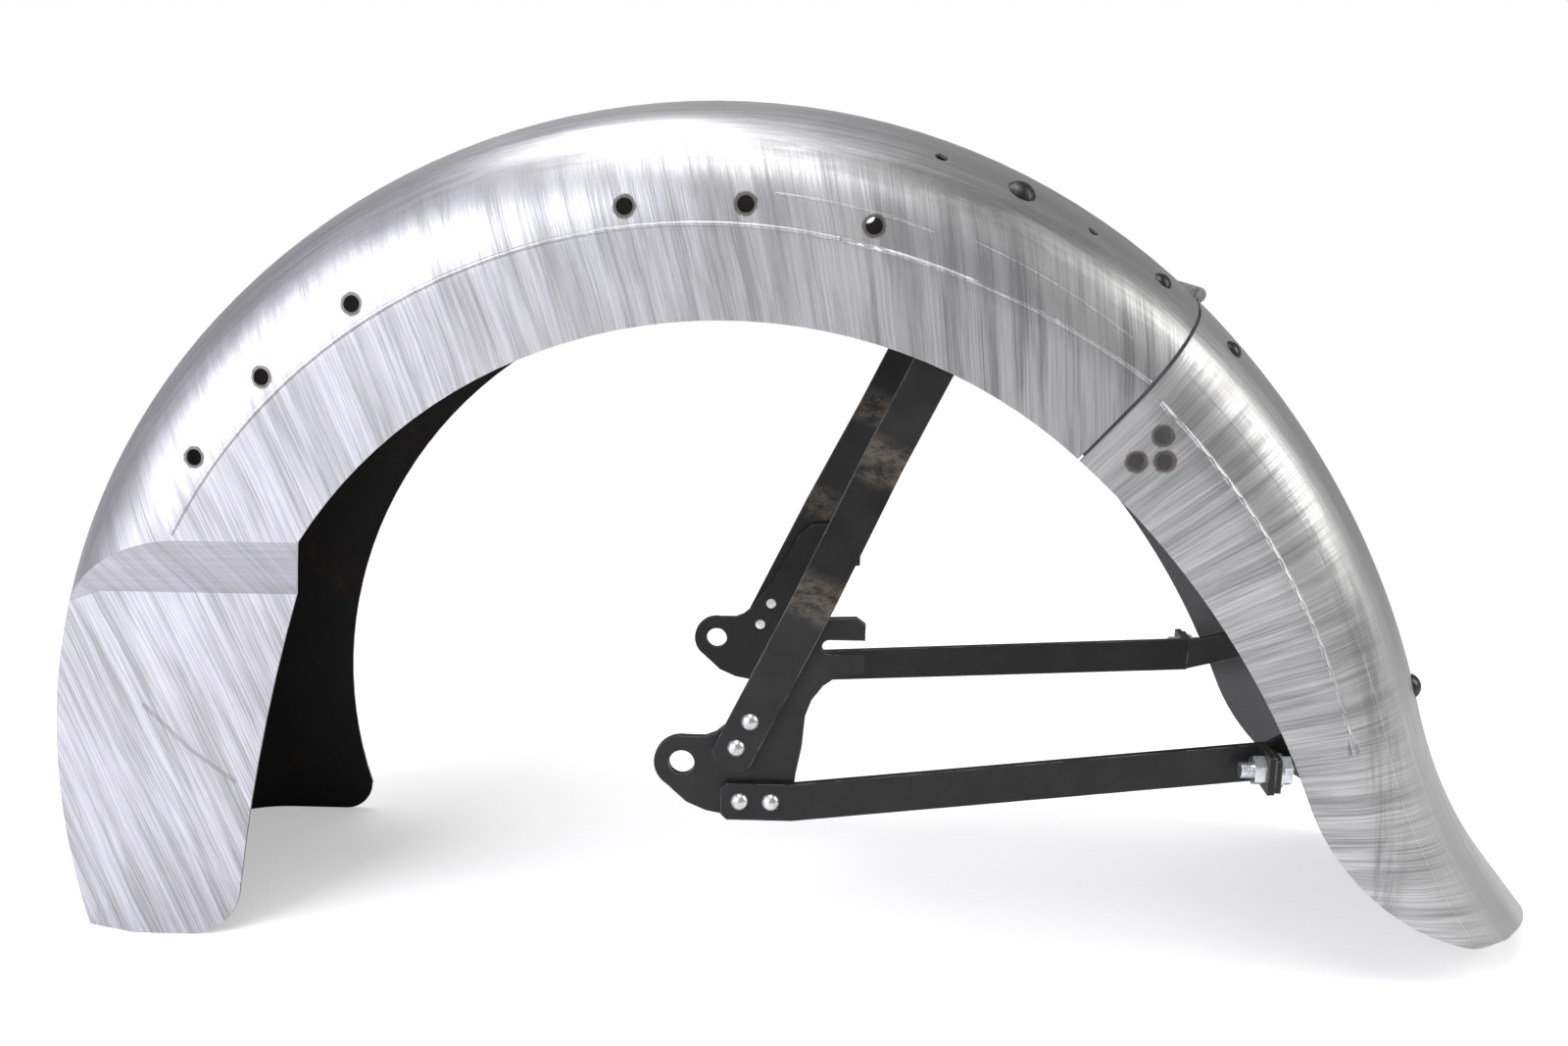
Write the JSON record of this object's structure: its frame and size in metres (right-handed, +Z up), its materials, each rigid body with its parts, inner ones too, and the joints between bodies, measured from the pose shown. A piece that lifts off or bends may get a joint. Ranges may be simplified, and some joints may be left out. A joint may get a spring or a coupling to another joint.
{
  "type": "motorcycle rear fender",
  "caption": "Deep steel motorcycle rear fender with a hinged flared tail, a chain clearance panel and black bar stays that run to slotted axle plates.",
  "frame": {"origin": "midway between the two axle plate holes, on their line", "axes": "+X back to the tail, +Y to the right-hand side, +Z up; the chain clearance panel is on the left, at -Y"},
  "size_m": [0.8213, 0.222, 0.443],
  "materials": {
    "sheet_steel": "bare sheet steel, ground and brushed, streaky on the skirts and satin on the crown",
    "black_steel": "semi-gloss black paint, scuffed at the bends and edges",
    "hinge_steel": "plain steel, darker than the shells",
    "rivet_steel": "bright domed rivets",
    "zinc_steel": "zinc plated"
  },
  "bodies": {
    "front": {"front_shell": "sheet_steel", "upper_stay": "black_steel", "axle_plate_left": "black_steel", "axle_plate_right": "black_steel", "lower_stay_left": "black_steel", "lower_stay_right": "black_steel", "upper_stay_rivets": "black_steel", "hinge_front_leaf": "hinge_steel", "hinge_pin": "hinge_steel", "hinge_rivets_front": "rivet_steel", "upper_rivets_left": "rivet_steel", "upper_rivets_right": "rivet_steel", "lower_rivets_left": "rivet_steel", "lower_rivets_right": "rivet_steel", "clamp_nut_left": "zinc_steel", "clamp_nut_right": "zinc_steel"},
    "tail": {"tail_shell": "sheet_steel", "hinge_rear_leaf": "hinge_steel", "hinge_rivets_rear": "rivet_steel", "tail_brace": "black_steel", "tail_brace_rivets": "black_steel", "clamp_bolt_left": "zinc_steel", "clamp_bolt_right": "zinc_steel", "clamp_washers": "zinc_steel"}
  },
  "joints": [
    {"name": "tail_hinge", "type": "hinge", "parent": "front", "child": "tail", "pos_m": [0.25668, 0, 0.22815], "axis": [0, -1, 0], "range_deg": [0, 75]}
  ]
}
